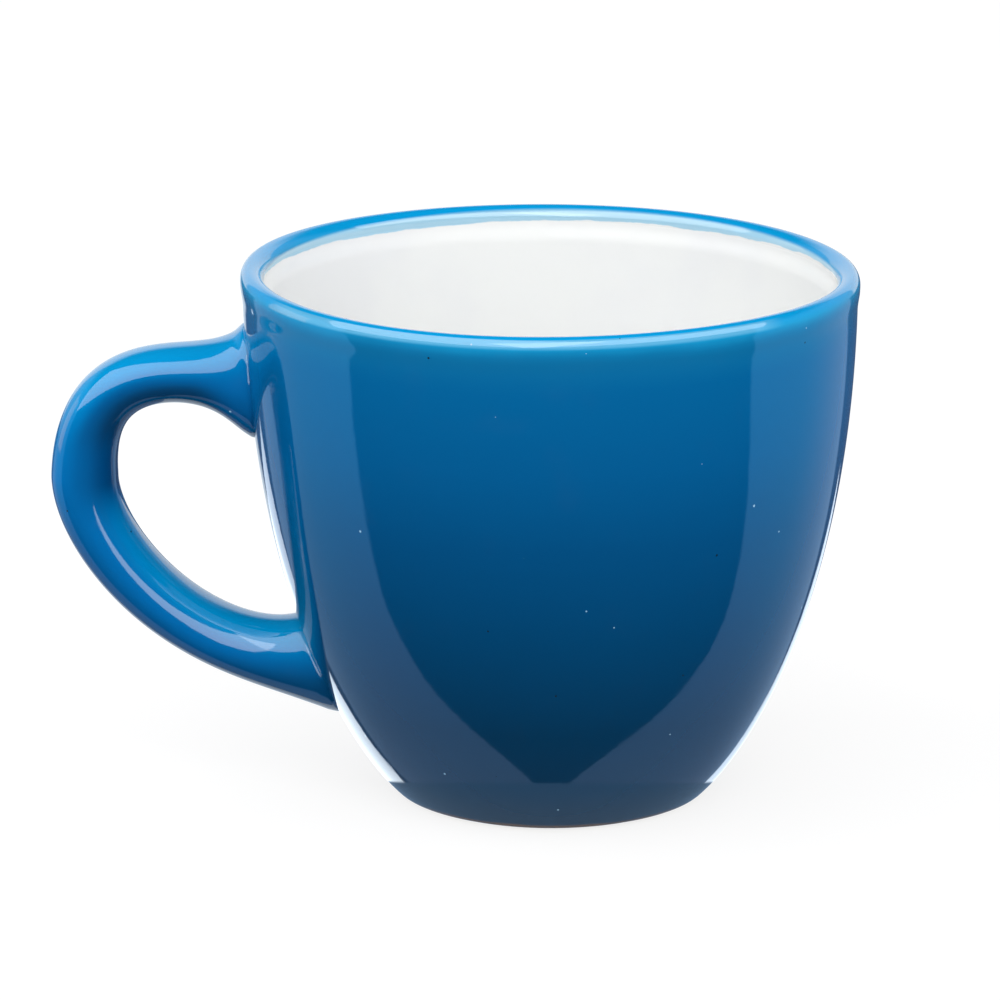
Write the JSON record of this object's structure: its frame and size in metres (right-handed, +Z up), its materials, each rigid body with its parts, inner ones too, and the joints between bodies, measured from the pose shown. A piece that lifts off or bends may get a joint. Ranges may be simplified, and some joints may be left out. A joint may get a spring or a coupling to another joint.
{
  "type": "espresso mug",
  "caption": "Small round-bottomed stoneware espresso mug with a loop handle, a rolled lip, a bare foot ring, glossy blue glaze outside and white glaze inside.",
  "frame": {"origin": "on the surface that the mug stands on, under the middle of its overall box of cup and handle", "axes": "+Z up along the cup's axis, -X towards the handle, +Y across the handle"},
  "size_m": [0.0893, 0.068, 0.0593],
  "materials": {
    "stoneware": "bare fired buff stoneware, matt, shown at the foot ring",
    "slip": "fired slip that joins the handle roots to the wall, covered by glaze",
    "blue_glaze": "glossy blue glaze, lighter where it is thin over the lip",
    "white_glaze": "glossy white liner glaze"
  },
  "bodies": {
    "root": {"cup_body": "stoneware", "handle": "stoneware", "upper_slip_joint": "slip", "lower_slip_joint": "slip", "outer_glaze": "blue_glaze", "liner_glaze": "white_glaze", "base_glaze": "blue_glaze"}
  },
  "joints": []
}
